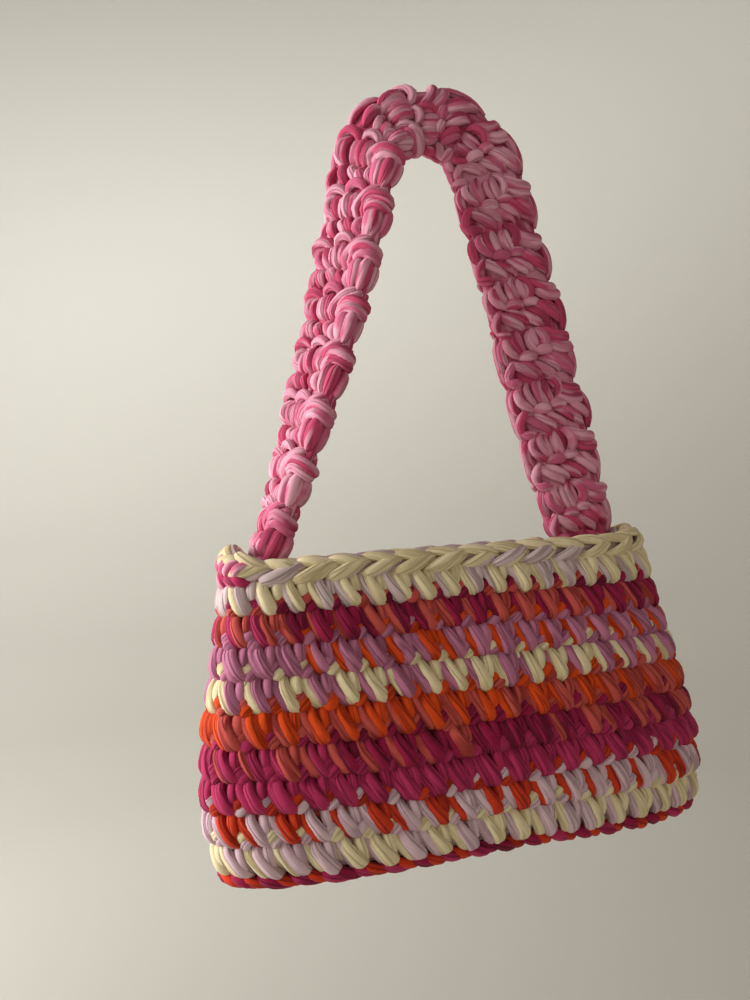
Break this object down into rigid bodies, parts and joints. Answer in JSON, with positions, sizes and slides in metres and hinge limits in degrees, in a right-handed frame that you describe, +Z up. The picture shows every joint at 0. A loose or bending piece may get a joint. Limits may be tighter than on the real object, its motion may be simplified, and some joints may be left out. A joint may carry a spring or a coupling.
{
  "type": "crocheted shoulder bag",
  "caption": "Shoulder bag crocheted from fat jersey yarn, striped rounds, plaited rim, open mouth and a twisted crocheted strap.",
  "frame": {"origin": "underside of the strap's arch, where a hand or shoulder holds the bag", "axes": "+Z up, X along the bag's length with +X to the right as seen from the front, the front faces -Y"},
  "size_m": [0.3639, 0.092, 0.546],
  "materials": {
    "base": "matte, magenta and orange-red jersey yarn",
    "round_1": "matte, cream and dusty pink jersey yarn",
    "round_2": "matte, burgundy and coral jersey yarn",
    "round_3": "matte, mauve pink and orange jersey yarn",
    "round_4": "matte, mauve pink and cream jersey yarn",
    "round_5": "matte, orange and coral jersey yarn",
    "round_6": "matte, burgundy and coral jersey yarn",
    "round_7": "matte, raspberry jersey yarn",
    "round_8": "matte, pale pink and orange-red jersey yarn",
    "round_9": "matte, cream and pale pink jersey yarn",
    "rim": "matte, cream and dusty pink jersey yarn",
    "strap": "matte, rose and pale pink jersey yarn",
    "strap_lashing": "matte, pale pink jersey yarn"
  },
  "bodies": {
    "root": {"base": "base", "round_1": "round_1", "round_2": "round_2", "round_3": "round_3", "round_4": "round_4", "round_5": "round_5", "round_6": "round_6", "round_7": "round_7", "round_8": "round_8", "round_9": "round_9", "rim": "rim", "strap": "strap", "strap_lashing": "strap_lashing"}
  },
  "joints": []
}
